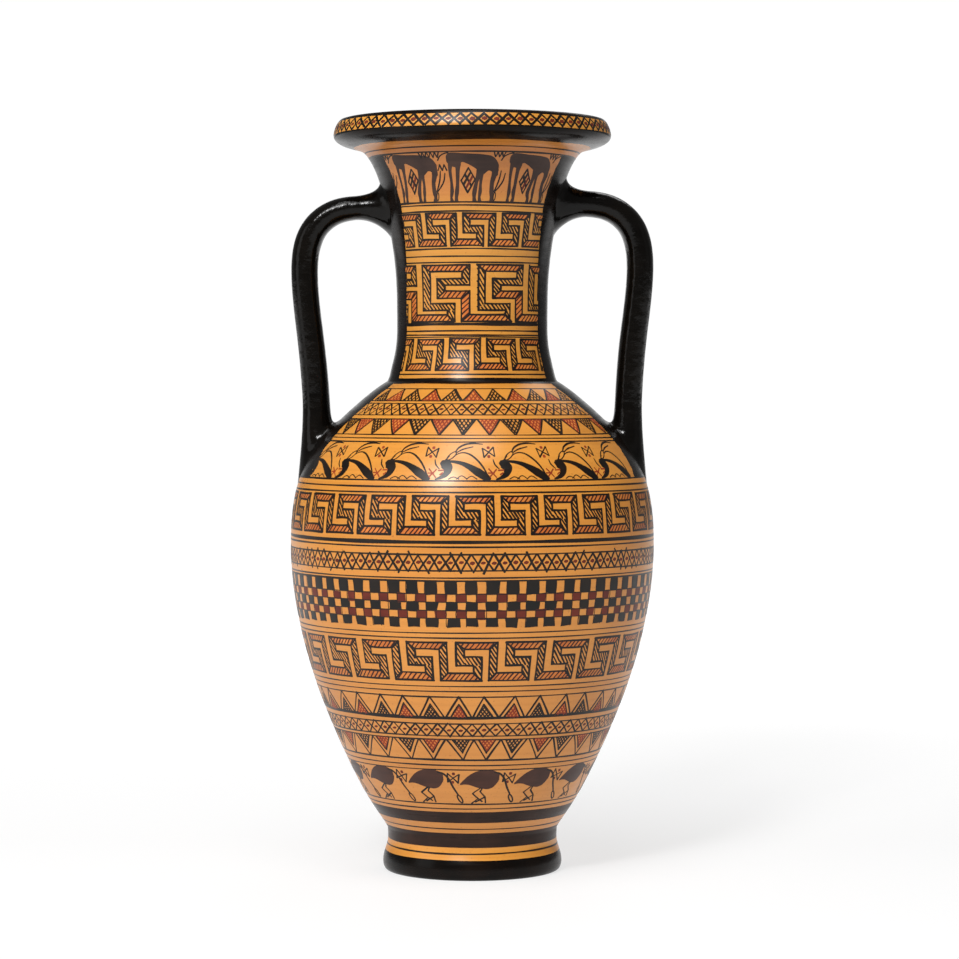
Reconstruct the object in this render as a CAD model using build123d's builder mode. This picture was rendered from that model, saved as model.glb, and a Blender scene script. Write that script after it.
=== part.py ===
"""A neck-handled amphora of fired clay, thrown in sections that are luted together.

Millimetres, +Z up. The origin is on the vase's axis, in the plane of the standing ring.
The handles stand at -X and +X, so the painted front panel faces -Y.
"""

from build123d import *
import os

# Overall
height = 400.0
belly_radius = 97.0
wall = 6.2

# Body and neck
belly_height = 0.4375 * height
neck_foot_radius = 45.4
neck_foot_height = 0.65125 * height
neck_waist_radius = 40.3
neck_waist_height = 0.75 * height
neck_top_radius = 57.0
neck_top_height = height - 18.4

# Mouth
rim_radius = 74.2
rim_widest_height = height - 8.5
rim_top_radius = 71.2
lip_under_radius = 68.6
lip_under_height = height - 13.7
mouth_land = 7.5
mouth_edge_radius = 1.6

# Foot
foot_radius = 47.7
foot_bulge_height = 4.6
foot_waist_radius = 45.2
foot_waist_height = 15.5
foot_height = 22.4
standing_ring_radius = 45.6
standing_ring_width = 9.0
foot_recess_height = 13.5
floor_thickness = 7.5

# Stepped joints between the thrown sections
joint_step = 3.2
foot_joint_height = foot_height - 1.4
foot_boss_radius = 27.0
belly_joint_height = belly_height + 3.0
neck_joint_height = neck_foot_height
mouth_joint_height = neck_top_height - 2.4

# Handles
SIDES = {"left": -1, "right": 1}
arm_height = {"left": height - 46.8, "right": height - 44.7}
arm_thickness = {"left": 11.8, "right": 13.6}
handle_thickness = 14.4
handle_width = 20.0
arm_share = 0.3
shank_inset = 13.8
shank_bow = 6.6
wall_bite = 4.5
HANDLE_STATIONS = 12

# Clay pressed around the handle roots: share of the way along, and how far it stands off there
lute_edge = 0.7
LUTES = {
    "upper": [(0.0, 10.0), (0.04, 5.4), (0.08, 2.4), (0.12, lute_edge)],
    "lower": [(0.82, lute_edge), (0.88, 1.5), (0.94, 2.6), (1.0, 4.0)],
}

# Shapes of the walls, as shares of the way across and the way up between their two ends
UNDERBODY = [(0.103, 0.054), (0.29, 0.16), (0.513, 0.318), (0.756, 0.528), (0.921, 0.739), (0.988, 0.897)]
SHOULDER = [(0.042, 0.285), (0.165, 0.504), (0.399, 0.691), (0.733, 0.881)]
NECK_FOOT = [(0.38, 0.155), (0.84, 0.42)]
NECK_FLARE = [(0.1, 0.34), (0.29, 0.575), (0.52, 0.79), (0.79, 0.933)]
OUTER_LIMIT = 2 * belly_radius


def between(shape, start, end):
    """Outline points from a wall's two ends and its shape."""
    points = [start]
    for across, up in shape:
        points.append((start[0] + (end[0] - start[0]) * across, start[1] + (end[1] - start[1]) * up))
    points.append(end)
    return points


def inside(outer, shares):
    """Points a wall's depth inside an outer outline, at shares along it."""
    points = []
    for share in shares:
        along = outer % share
        place = outer @ share
        points.append((place.X - along.Y * wall, place.Y + along.X * wall))
    return points


def joint_line(height, step_radius):
    """A stepped joint, from the axis outwards: the lower section keeps an inner tongue."""
    return [
        (0, height + joint_step),
        (step_radius, height + joint_step),
        (step_radius, height),
        (OUTER_LIMIT, height),
    ]


# The outside, from the standing ring up to the mouth
underbody = between(UNDERBODY, (foot_waist_radius, foot_height), (belly_radius, belly_height))
shoulder = between(SHOULDER, (belly_radius, belly_height), (neck_foot_radius, neck_foot_height))
neck_foot = between(
    NECK_FOOT, (neck_foot_radius, neck_foot_height), (neck_waist_radius, neck_waist_height)
)
neck_flare = between(
    NECK_FLARE, (neck_waist_radius, neck_waist_height), (neck_top_radius, neck_top_height)
)
rim_face_top = (rim_top_radius + mouth_edge_radius, height - 2 * mouth_edge_radius)

with BuildLine() as outside:
    foot_side = Spline(
        (standing_ring_radius, 0),
        (foot_radius, foot_bulge_height),
        (foot_waist_radius, foot_waist_height),
        (foot_waist_radius, foot_height),
        tangents=((1, 0.35), (0, 1)),
    )
    bowl_side = Spline(underbody, tangents=((0.5, 1), (0, 1)))
    shoulder_side = Spline(shoulder, tangents=((0, 1), (-1.2, 0.7)))
    neck_foot_side = Spline(neck_foot, tangents=((-0.55, 1), (0, 1)))
    flare_side = Spline(neck_flare, tangents=((0, 1), (1, 1.2)))
    lip_side = Spline(
        (neck_top_radius, neck_top_height),
        (lip_under_radius, lip_under_height),
        (rim_radius, rim_widest_height),
        tangents=((1, 1.2), (-0.05, 1)),
    )
    rim_side = Spline(
        (rim_radius, rim_widest_height),
        rim_face_top,
        (rim_top_radius - mouth_edge_radius, height),
        tangents=((-0.05, 1), (-1, 0)),
    )

# The hollow, a wall's depth inside, down to the floor
floor_height = foot_joint_height + joint_step + floor_thickness
mouth_inner_radius = rim_top_radius - mouth_edge_radius - mouth_land
inner_neck = inside(flare_side, [0.97, 0.8, 0.6, 0.4, 0.2]) + inside(neck_foot_side, [1.0, 0.7])
inner_neck_foot = (neck_foot_radius - wall - 0.8, neck_foot_height + 1.0)
inner_shoulder = inside(shoulder_side, [0.75, 0.55, 0.35, 0.15, 0.0])
inner_bowl = inside(bowl_side, [0.85, 0.7, 0.55, 0.4, 0.25])

with BuildSketch(Plane.XZ) as pot_section:
    with BuildLine():
        add(outside.line)
        Line(rim_side @ 1, (mouth_inner_radius, height))
        Spline(
            (mouth_inner_radius, height),
            *inner_neck,
            inner_neck_foot,
            *inner_shoulder,
            tangents=((-1, -0.9), (0, -1)),
        )
        Spline(
            inner_shoulder[-1],
            *inner_bowl,
            (inner_bowl[-1][0] * 0.62, floor_height + 1.5),
            (0, floor_height),
            tangents=((0, -1), (-1, 0)),
        )
        Polyline(
            (0, floor_height),
            (0, foot_recess_height),
            (standing_ring_radius - standing_ring_width, foot_recess_height),
            (standing_ring_radius - standing_ring_width, 0),
            (standing_ring_radius, 0),
        )
    make_face()

with BuildPart() as pot_form:
    with BuildSketch(Plane.XZ):
        with BuildLine():
            add(outside.line)
            Polyline(rim_side @ 1, (0, height), (0, 0), foot_side @ 0)
        make_face()
    revolve(axis=Axis.Z)

# Thrown sections, each between the joint under it and the joint over it
foot_joint = joint_line(foot_joint_height, foot_boss_radius)
belly_joint = joint_line(belly_joint_height, belly_radius - wall / 2)
neck_joint = joint_line(neck_joint_height, neck_foot_radius - wall / 2)
mouth_joint = joint_line(mouth_joint_height, neck_top_radius - 0.6 * wall)
ground = [(0, -wall), (OUTER_LIMIT, -wall)]
sky = [(0, height + wall), (OUTER_LIMIT, height + wall)]
SECTIONS = {
    "foot": (ground, foot_joint),
    "lower_body": (foot_joint, belly_joint),
    "upper_body": (belly_joint, neck_joint),
    "neck": (neck_joint, mouth_joint),
    "mouth_rim": (mouth_joint, sky),
}

os.makedirs("parts", exist_ok=True)

for label, (under, over) in SECTIONS.items():
    with BuildPart() as section:
        with BuildSketch(Plane.XZ):
            add(pot_section.sketch_local)
            with BuildLine():
                Polyline(*under, *over[::-1], close=True)
            make_face(mode=Mode.INTERSECT)
        revolve(axis=Axis.Z)
    section.part.label = label
    export_step(section.part, f"parts/{label}.step")

# Handles, each an arm out of the neck, a bend and a shank down into the shoulder
arm_start = neck_waist_radius + (neck_top_radius - neck_waist_radius) * 0.3 - wall_bite
shank_radius = belly_radius - shank_inset
reach_radius = shank_radius + shank_bow


def thickness_at(side, share):
    """A handle's thickness at a share of the way along it: the arm grows into the shank."""
    grown = min(share / arm_share, 1)
    return arm_thickness[side] + (handle_thickness - arm_thickness[side]) * grown


for side, sign in SIDES.items():
    arm = arm_height[side]
    with BuildLine(Plane.XZ):
        route = Spline(
            (sign * arm_start, arm),
            (sign * (arm_start + 16.5), arm + 0.2),
            (sign * (reach_radius - 15.6), arm - 2.6),
            (sign * (reach_radius - 5.4), arm - 11.0),
            (sign * (reach_radius - 1.0), arm - 22.0),
            (sign * reach_radius, arm - 36.0),
            (sign * (reach_radius - 3.5), arm - 71.0),
            (sign * shank_radius, neck_foot_height - 21.0),
            (sign * (shank_radius - 0.5), neck_foot_height - 53.0),
        )

    with BuildPart() as handle:
        for station in range(HANDLE_STATIONS + 1):
            share = station / HANDLE_STATIONS
            with BuildSketch(Plane(route @ share, x_dir=(0, 1, 0), z_dir=route % share)):
                Ellipse(handle_width / 2, thickness_at(side, share) / 2)
        loft()
        add(pot_form.part, mode=Mode.SUBTRACT)
    handle.part.label = f"{side}_handle"
    export_step(handle.part, f"parts/{side}_handle.step")

    for root, flares in LUTES.items():
        with BuildPart() as lute:
            for share, rise in flares:
                with BuildSketch(Plane(route @ share, x_dir=(0, 1, 0), z_dir=route % share)):
                    Ellipse(handle_width / 2 + rise, thickness_at(side, share) / 2 + rise)
            loft()
            add(handle.part, mode=Mode.SUBTRACT)
            add(pot_form.part, mode=Mode.SUBTRACT)
        lute.part.label = f"{side}_{root}_lute"
        export_step(lute.part, f"parts/{side}_{root}_lute.step")
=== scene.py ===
"""A clay amphora painted in the Greek geometric manner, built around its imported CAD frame.

The thrown sections are turned from the CAD's outline, with their black bands as faces of their own.
Every painted line, hatch and figure is a brush stroke: a thin raised film of slip that follows the clay.
Painting is laid out in degrees round the pot and millimetres of height; meshes are in metres.
"""

import math

import bpy
import numpy as np
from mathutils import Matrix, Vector


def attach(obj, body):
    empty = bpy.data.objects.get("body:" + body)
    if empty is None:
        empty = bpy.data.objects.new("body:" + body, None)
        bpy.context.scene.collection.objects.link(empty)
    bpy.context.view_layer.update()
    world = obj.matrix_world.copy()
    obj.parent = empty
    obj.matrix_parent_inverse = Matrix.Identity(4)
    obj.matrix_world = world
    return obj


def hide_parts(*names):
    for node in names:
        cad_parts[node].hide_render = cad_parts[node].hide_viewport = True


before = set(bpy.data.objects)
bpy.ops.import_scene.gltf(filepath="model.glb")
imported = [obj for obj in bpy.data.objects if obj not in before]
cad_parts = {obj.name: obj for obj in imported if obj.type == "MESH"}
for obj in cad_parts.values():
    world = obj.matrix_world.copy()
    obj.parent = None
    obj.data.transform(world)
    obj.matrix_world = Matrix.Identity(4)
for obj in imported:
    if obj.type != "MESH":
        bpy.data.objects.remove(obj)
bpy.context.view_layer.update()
rng = np.random.default_rng(742)

MM = 0.001
FRONT, BACK = -90.0, 90.0

# ---------------- outline, as in the CAD
# (radius, height) in mm
HEIGHT = 400.0
WALL = 6.2
FOOT_TOP = (45.2, 22.4)
BELLY = (97.0, 175.0)
NECK_FOOT = (45.4, 260.5)
NECK_WAIST = (40.3, 300.0)
NECK_TOP = (57.0, 381.6)
RIM_WIDEST = (74.2, 391.5)
MOUTH_INNER = 62.1
STANDING_OUTER, STANDING_INNER = 45.6, 36.6
FLOOR_HEIGHT, FOOT_RECESS = 31.7, 13.5
AXIS_GAP = 0.3
JOINT_STEP = 3.2
FOOT_JOINT = (27.0, 21.0)
BELLY_JOINT = (BELLY[0] - WALL / 2, 178.0)
NECK_JOINT = (NECK_FOOT[0] - WALL / 2, 260.5)
MOUTH_JOINT = (NECK_TOP[0] - 0.6 * WALL, 379.2)

# Shapes of the walls, as shares of the way across and the way up between their two ends
UNDERBODY = [(0.103, 0.054), (0.29, 0.16), (0.513, 0.318), (0.756, 0.528), (0.921, 0.739), (0.988, 0.897)]
SHOULDER = [(0.042, 0.285), (0.165, 0.504), (0.399, 0.691), (0.733, 0.881)]
NECK_SWEEP = [(0.38, 0.155), (0.84, 0.42)]
NECK_FLARE = [(0.1, 0.34), (0.29, 0.575), (0.52, 0.79), (0.79, 0.933)]


def spline(points, start, end, steps):
    """A smooth curve through points, with its directions at both ends given."""
    points = np.array(points, float)
    gaps = np.linalg.norm(np.diff(points, axis=0), axis=1)
    count = len(points)
    matrix = np.zeros((count, count))
    right = np.zeros((count, 2))
    matrix[0, 0] = matrix[-1, -1] = 1
    right[0] = np.array(start) / np.linalg.norm(start)
    right[-1] = np.array(end) / np.linalg.norm(end)
    for i in range(1, count - 1):
        before, after = gaps[i - 1], gaps[i]
        matrix[i, i - 1 : i + 2] = after, 2 * (before + after), before
        behind, ahead = points[i] - points[i - 1], points[i + 1] - points[i]
        right[i] = 3 * (after / before * behind + before / after * ahead)
    slopes = np.linalg.solve(matrix, right)
    curve = []
    for i, gap in enumerate(gaps):
        for t in np.linspace(0, 1, steps, endpoint=False):
            a, b = 2 * t**3 - 3 * t**2 + 1, -2 * t**3 + 3 * t**2
            c, d = t**3 - 2 * t**2 + t, t**3 - t**2
            curve.append(a * points[i] + b * points[i + 1] + gap * (c * slopes[i] + d * slopes[i + 1]))
    curve.append(points[-1])
    return np.array(curve)


def wall_curve(shape, start, end, leaving, arriving, steps):
    """A wall's outline between its two ends, through the points of its shape."""
    across, up = end[0] - start[0], end[1] - start[1]
    middle = [(start[0] + across * a, start[1] + up * u) for a, u in shape]
    return spline([start, *middle, end], leaving, arriving, steps)


foot_curve = spline([(STANDING_OUTER, 0), (47.7, 4.6), (45.2, 15.5), FOOT_TOP], (1, 0.35), (0, 1), 12)
bowl_curve = wall_curve(UNDERBODY, FOOT_TOP, BELLY, (0.5, 1), (0, 1), 14)
shoulder_curve = wall_curve(SHOULDER, BELLY, NECK_FOOT, (0, 1), (-1.2, 0.7), 14)
neck_curve = wall_curve(NECK_SWEEP, NECK_FOOT, NECK_WAIST, (-0.55, 1), (0, 1), 8)
flare_curve = wall_curve(NECK_FLARE, NECK_WAIST, NECK_TOP, (0, 1), (1, 1.2), 10)
lip_curve = spline([NECK_TOP, (68.6, 386.3), RIM_WIDEST], (1, 1.2), (-0.05, 1), 12)
rim_curve = spline([RIM_WIDEST, (72.8, 396.8), (69.6, HEIGHT)], (-0.05, 1), (-1, 0), 12)
body_part = np.vstack([foot_curve[:-1], bowl_curve[:-1], shoulder_curve])
neck_part = np.vstack([neck_curve[:-1], flare_curve[:-1], lip_curve[:-1], rim_curve])
OUTSIDE_HEIGHTS = np.concatenate([body_part[:, 1], neck_part[1:, 1]])


def slope_of(curve):
    """Millimetres of radius for each millimetre of height, at each point of a curve."""
    return np.gradient(curve[:, 0]) / np.maximum(np.gradient(curve[:, 1]), 1e-3)


body_slope, neck_slope = slope_of(body_part), slope_of(neck_part)


def profile_at(z):
    """Radius and slope of the outside at heights z; body and neck meet in a crease."""
    z = np.asarray(z, float)
    found = []
    for body, neck in ((body_part[:, 0], neck_part[:, 0]), (body_slope, neck_slope)):
        in_body, in_neck = np.interp(z, body_part[:, 1], body), np.interp(z, neck_part[:, 1], neck)
        found.append(np.where(z < NECK_FOOT[1], in_body, in_neck))
    return found


def metric_at(z):
    """Millimetres along the clay for a degree round the pot and for a millimetre of height."""
    radius, slope = profile_at(z)
    return np.stack([np.radians(radius), np.sqrt(1 + slope**2)], -1)


def on_surface(degrees, z, lift):
    """Points (m) and outward normals at places on the pot, standing lift mm proud of it."""
    angle = np.radians(degrees)
    radius, slope = profile_at(z)
    length = np.sqrt(1 + slope**2)
    out, up = 1 / length, -slope / length
    normal = np.stack([np.cos(angle) * out, np.sin(angle) * out, up], -1)
    flat = np.stack([np.cos(angle) * radius, np.sin(angle) * radius, z], -1)
    return (flat + normal * np.asarray(lift)[..., None]) * MM, normal


# ---------------- materials
class Nodes:
    """The node tree of a material or world, with the few kinds of node that are used here."""

    def __init__(self, owner, coordinates):
        owner.use_nodes = True
        self.nodes, self.links = owner.node_tree.nodes, owner.node_tree.links
        self.place = self.add("TexCoord", {}).outputs[coordinates]

    def add(self, kind, inputs, **settings):
        """A node whose inputs are each wired to a socket or set to a value."""
        node = self.nodes.new("ShaderNode" + kind)
        for key, value in settings.items():
            setattr(node, key, value)
        for key, value in inputs.items():
            if isinstance(value, bpy.types.NodeSocket):
                self.links.new(value, node.inputs[key])
            else:
                node.inputs[key].default_value = value
        return node

    def axis(self, letter):
        return self.add("SeparateXYZ", {"Vector": self.place}).outputs[letter]

    def noise(self, scale, detail, stretch=(1, 1, 1)):
        stretched = self.add("Mapping", {"Vector": self.place, "Scale": stretch}).outputs["Vector"]
        return self.add("TexNoise", {"Vector": stretched, "Scale": scale, "Detail": detail}).outputs["Fac"]

    def ramp(self, source, stops):
        node = self.add("ValToRGB", {"Fac": source})
        elements = node.color_ramp.elements
        while len(elements) < len(stops):
            elements.new(0.5)
        for element, (position, colour) in zip(elements, stops):
            element.position = position
            element.color = (*colour, 1)
        return node.outputs["Color"]

    def span(self, source, low, high, to_low, to_high):
        ends = {"From Min": low, "From Max": high, "To Min": to_low, "To Max": to_high}
        return self.add("MapRange", {"Value": source, **ends}).outputs["Result"]

    def multiplied(self, share, a, b):
        return self.add("Mix", {0: share, 6: a, 7: b}, data_type="RGBA", blend_type="MULTIPLY").outputs[2]

    def shade(self, colour, roughness, specular, bumps):
        """Wires up the shader; bumps are (height source, strength, distance in metres)."""
        shader = self.nodes["Principled BSDF"]
        normal = {}
        for source, strength, distance in bumps:
            bump = self.add("Bump", {"Strength": strength, "Distance": distance, "Height": source, **normal})
            normal = {"Normal": bump.outputs["Normal"]}
        for key, value in (("Base Color", colour), ("Roughness", roughness), *normal.items()):
            self.links.new(value, shader.inputs[key])
        shader.inputs["Specular IOR Level"].default_value = specular


def clay(name, tones, roughness, specular):
    """Fired clay: a tone for each share of the pot's height, marks of turning and a few dark specks."""
    mat = bpy.data.materials.new(name)
    nodes = Nodes(mat, "Object")
    cloud = nodes.noise(16, 4)
    turning = nodes.noise(9, 5, (0.6, 0.6, 60))
    grain = nodes.noise(900, 2)
    tone = nodes.ramp(nodes.span(nodes.axis("Z"), 0, HEIGHT * MM, 0, 1), tones)
    for share, source, stops in (
        (0.55, cloud, [(0.3, (0.80, 0.74, 0.68)), (0.5, (1, 1, 1)), (0.72, (1.08, 1.12, 1.2))]),
        (0.5, turning, [(0.32, (0.86, 0.80, 0.74)), (0.56, (1, 1, 1)), (0.8, (1.05, 1.07, 1.1))]),
        (0.5, grain, [(0.26, (0.5, 0.36, 0.26)), (0.36, (1, 1, 1))]),
    ):
        tone = nodes.multiplied(share, tone, nodes.ramp(source, stops))
    rough = nodes.span(cloud, 0.3, 0.7, roughness + 0.05, roughness - 0.05)
    nodes.shade(tone, rough, specular, [(turning, 0.10, 0.0004), (grain, 0.05, 0.0001)])
    return mat


def slip(name, thin, thick, roughness, specular, relief):
    """Painted slip: deep where it lies thick, browner where the brush ran thin, and wrinkled by relief."""
    mat = bpy.data.materials.new(name)
    nodes = Nodes(mat, "Object")
    streak = nodes.noise(40, 4, (1, 1, 12))
    pooled = nodes.ramp(nodes.noise(70, 4), [(0.35, thick), (0.68, thin)])
    streaked = nodes.ramp(streak, [(0.3, (0.6, 0.6, 0.6)), (0.7, (1.3, 1.25, 1.2))])
    rough = nodes.span(streak, 0.3, 0.7, roughness - 0.05, roughness + 0.06)
    bumps = [(nodes.noise(230, 3), relief, 0.0006), (streak, 0.06, 0.0003)]
    nodes.shade(nodes.multiplied(0.4, pooled, streaked), rough, specular, bumps)
    return mat


BOWL_TONE, BELLY_TONE, NECK_TONE = (0.62, 0.245, 0.046), (0.655, 0.256, 0.036), (0.60, 0.258, 0.035)
# The darker tone just under the lip is painted shade, standing for the shadow the lip casts on the neck
# below it.
FOOT_TONE, LIP_SHADE_TONE = (0.73, 0.300, 0.044), (0.49, 0.176, 0.034)
CLAY_TONES = [
    (0.035, FOOT_TONE), (0.07, BOWL_TONE), (0.14, BOWL_TONE), (0.4, BELLY_TONE), (0.8, NECK_TONE),
    (0.875, NECK_TONE), (0.9, LIP_SHADE_TONE), (0.955, LIP_SHADE_TONE), (0.972, NECK_TONE),
]
BARE_TONES = [(0.14, (0.46, 0.20, 0.085)), (0.4, (0.50, 0.215, 0.085)), (0.8, (0.50, 0.22, 0.09))]
CLAY = clay("painted_clay", CLAY_TONES, 0.32, 0.5)
BARE = clay("bare_clay", BARE_TONES, 0.75, 0.25)
BLACK = slip("black_slip", (0.008, 0.0045, 0.003), (0.003, 0.0022, 0.0017), 0.25, 0.13, 0.10)
BAND_BLACK = slip("band_slip", (0.034, 0.016, 0.011), (0.020, 0.010, 0.007), 0.30, 0.16, 0.08)
HANDLE_BLACK = slip("handle_slip", (0.0035, 0.0026, 0.0018), (0.0018, 0.0014, 0.001), 0.15, 0.20, 0.5)
LINE_BLACK = slip("line_slip", (0.013, 0.0065, 0.003), (0.0035, 0.0025, 0.0018), 0.33, 0.30, 0.05)
BROWN = slip("deer_slip", (0.055, 0.029, 0.021), (0.034, 0.018, 0.014), 0.36, 0.25, 0.05)
BIRD = slip("bird_slip", (0.066, 0.026, 0.017), (0.046, 0.017, 0.011), 0.36, 0.25, 0.05)
RED = slip("dark_red_slip", (0.155, 0.023, 0.010), (0.095, 0.013, 0.007), 0.38, 0.25, 0.05)
SCARLET = slip("scarlet_slip", (0.30, 0.040, 0.012), (0.20, 0.024, 0.008), 0.38, 0.25, 0.05)
WASH = slip("orange_red_wash", (0.64, 0.228, 0.042), (0.51, 0.128, 0.022), 0.36, 0.30, 0.05)
UMBER = slip("umber_slip", (0.060, 0.010, 0.004), (0.026, 0.005, 0.0025), 0.36, 0.30, 0.05)


# ---------------- meshes
def add_mesh(name, points, faces, materials, node=None, indices=None):
    """A smooth mesh that rides on the pot; it may stand for a CAD node."""
    mesh = bpy.data.meshes.new(name)
    mesh.from_pydata(points.tolist(), [], faces)
    for mat in materials:
        mesh.materials.append(mat)
    if indices is not None:
        mesh.polygons.foreach_set("material_index", indices)
    mesh.polygons.foreach_set("use_smooth", [True] * len(mesh.polygons))
    mesh.update()
    obj = bpy.data.objects.new(name, mesh)
    bpy.context.scene.collection.objects.link(obj)
    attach(obj, "root")
    if node:
        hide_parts(node)
    return mesh


def ring_faces(rings, columns, closed=False):
    """Quads between successive rings of points; closed joins the last ring to the first."""
    here = np.arange(columns)
    after = np.roll(here, -1)
    faces = []
    for i in range(rings if closed else rings - 1):
        a, b = i * columns, (i + 1) % rings * columns
        faces.extend(np.stack([a + here, a + after, b + after, b + here], -1).tolist())
    return faces


# ---------------- thrown sections
PANEL_EDGE_HEIGHTS = (205, 232, 241, 257, 283, 305, 331, 353.6, 372, 385)
PANEL_EDGE_DEGREES = (68, 67, 66, 60.5, 59.3, 59.5, 56, 54, 58, 60)
# Heights (from, to) that are black: all round, all round in a thin coat, and only under the handles
FULL_BLACK = [(-1, 10.6), (259.0, 262.0), (384.9, 391.6), (397.9, 401)]
THIN_BLACK = [(17.1, 24.9), (30.8, 37.0)]
SIDE_BLACK = [(209.8, 379.3)]
EDGES = sorted(z for zone in FULL_BLACK + THIN_BLACK + SIDE_BLACK for z in zone if 0 < z < HEIGHT)
PANEL_COLUMNS, SIDE_COLUMNS = 88, 40
COLUMN_COUNTS = (PANEL_COLUMNS, SIDE_COLUMNS) * 2
IN_SIDE = np.repeat([False, True] * 2, COLUMN_COUNTS)
COLUMNS = len(IN_SIDE)


def panel_edge(z):
    """Degrees from the panel's centre to where the black begins, under the handles."""
    return np.interp(z, PANEL_EDGE_HEIGHTS, PANEL_EDGE_DEGREES)


def column_angles(z):
    """Degrees of every column at height z: columns bunch so that one lies on each edge of the panels."""
    edge = panel_edge(z) + 0.35 * math.sin(z * 0.9) * math.sin(z * 0.23)
    ends = (FRONT - edge, FRONT + edge, BACK - edge, BACK + edge, FRONT + 360 - edge)
    runs = zip(ends, ends[1:], COLUMN_COUNTS)
    return np.concatenate([np.linspace(a, b, count, endpoint=False) for a, b, count in runs])


def outer_rows(low, high):
    """Heights of the rows of a section's outside, with a row on each painted edge."""
    free = [z for z in OUTSIDE_HEIGHTS if all(abs(z - edge) > 0.45 for edge in EDGES)]
    rows = [z for z in free if low + 0.25 < z < high - 0.25]
    marks = [z for z in EDGES if low + 0.2 < z < high - 0.2]
    return np.array(sorted({low, high, *rows, *marks}))


def inside_at(z):
    """The place a wall's depth inside the outside at height z."""
    radius, slope = profile_at(z)
    length = math.sqrt(1 + slope**2)
    return float(radius - WALL / length), float(z + WALL * slope / length)


def inner_outline():
    """The hollow's outline from the mouth down to the floor."""
    crease = (NECK_FOOT[0] - WALL - 0.8, NECK_FOOT[1] + 1)
    neck = [place for place in map(inside_at, (*range(372, 262, -8), 262)) if place[1] > 262]
    body = [inside_at(z) for z in (*range(246, 176, -9), *range(166, 50, -11))]
    floor = [(body[-1][0] * 0.62, FLOOR_HEIGHT + 1.5), (0.4, FLOOR_HEIGHT)]
    return spline([(MOUTH_INNER, HEIGHT), *neck, crease, *body, *floor], (-1, -0.9), (-1, 0), 4)


INNER = inner_outline()


def hollow(high, low):
    """The hollow's outline between two heights, going down, with its ends on those heights."""
    top, bottom = ((float(np.interp(z, INNER[::-1, 1], INNER[::-1, 0])), z) for z in (high, low))
    return [top, *(tuple(p) for p in INNER if low + 0.3 < p[1] < high - 0.3), bottom]


def turned(name, low, high, closing, painted=0):
    """One thrown section: its outside, then closing, the corners (radius, height) of its profile back
    round inside. The first faces after the outside, as many as painted, are black and the rest bare."""
    rows = outer_rows(low, high)
    phases = rng.uniform(0, 6.3, 8)
    points, normals = [], []
    for z in rows:
        angles = column_angles(z)
        heights = np.full(COLUMNS, z)
        if any(abs(z - edge) < 1e-6 for edge in EDGES):
            turn = np.radians(angles)
            waver = sum(0.045 * np.sin(n * turn + phases[n - 1]) for n in range(3, 9))
            heights = np.clip(heights + waver, low, high)
        place, normal = on_surface(angles, heights, np.zeros(COLUMNS))
        points.append(place)
        normals.append(np.tile([0.0, 0.0, 1.0], (COLUMNS, 1)) if z > HEIGHT - 0.01 else normal)
    turn = np.radians(column_angles(high))
    circle = np.stack([np.cos(turn), np.sin(turn), np.ones(COLUMNS)], -1) * MM
    points.extend(circle * (radius, radius, z) for radius, z in closing)
    indices = []
    for z in (rows[:-1] + rows[1:]) / 2:
        zones = (FULL_BLACK, SIDE_BLACK, THIN_BLACK)
        full, side, thin = (any(a <= z <= b for a, b in zone) for zone in zones)
        indices.extend(np.where(full | (side & IN_SIDE), 1, 3 if thin else 0).tolist())
    for i in range(len(closing) + 1):
        indices.extend([1 if i < painted else 2] * COLUMNS)
    faces = ring_faces(len(points), COLUMNS, closed=True)
    points = np.vstack(points)
    mesh = add_mesh("turned_" + name, points, faces, [CLAY, BLACK, BARE, BAND_BLACK], name, indices)

    # The outside is shaded with its own normals and the hollow smoothly, and corners stay sharp
    vertex = np.array(faces).ravel()
    smooth = np.zeros((len(points), 3), np.float32)
    mesh.vertices.foreach_get("normal", smooth.ravel())
    smooth = smooth[vertex]
    corner = np.repeat([list(polygon.normal) for polygon in mesh.polygons], 4, axis=0)
    row = np.arange(len(vertex)) // (4 * COLUMNS) - (len(rows) - 1)
    curved = (row >= max(painted, 1)) & ((smooth * corner).sum(1) > 0.93)
    corner[curved] = smooth[curved]
    corner[row < 0] = np.vstack(normals)[vertex[row < 0]]
    mesh.normals_split_custom_set(corner.tolist())


def tongue(joint):
    """A stepped joint's corners, from outside in: the lower section's inner tongue, under the upper one."""
    radius, height = joint
    return [(radius, height), (radius, height + JOINT_STEP)]


def build_pot():
    foot, belly, mouth = FOOT_JOINT[1], BELLY_JOINT[1], MOUTH_JOINT[1]
    boss = (AXIS_GAP, foot + JOINT_STEP)
    turned(
        "foot", 0.0, foot,
        tongue(FOOT_JOINT)
        + [boss, (AXIS_GAP, FOOT_RECESS), (STANDING_INNER, FOOT_RECESS), (STANDING_INNER, 0)],
    )
    turned(
        "lower_body", foot, belly,
        tongue(BELLY_JOINT) + hollow(belly + JOINT_STEP, FLOOR_HEIGHT + 0.05)
        + [(AXIS_GAP, FLOOR_HEIGHT), boss] + tongue(FOOT_JOINT)[::-1],
    )
    for name, below, above in (("upper_body", BELLY_JOINT, NECK_JOINT), ("neck", NECK_JOINT, MOUTH_JOINT)):
        inner = hollow(above[1] + JOINT_STEP, below[1] + JOINT_STEP)
        turned(name, below[1], above[1], tongue(above) + inner + tongue(below)[::-1])
    turned(
        "mouth_rim", mouth, HEIGHT,
        [(MOUTH_INNER + 1.5, HEIGHT), (MOUTH_INNER + 0.4, HEIGHT - 0.4)]
        + hollow(HEIGHT - 1.5, mouth + JOINT_STEP) + tongue(MOUTH_JOINT)[::-1],
        5,
    )


# ---------------- painting
# Millimetres over the clay
TUCKED = -0.03
WASH_LIFT = 0.03


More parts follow.
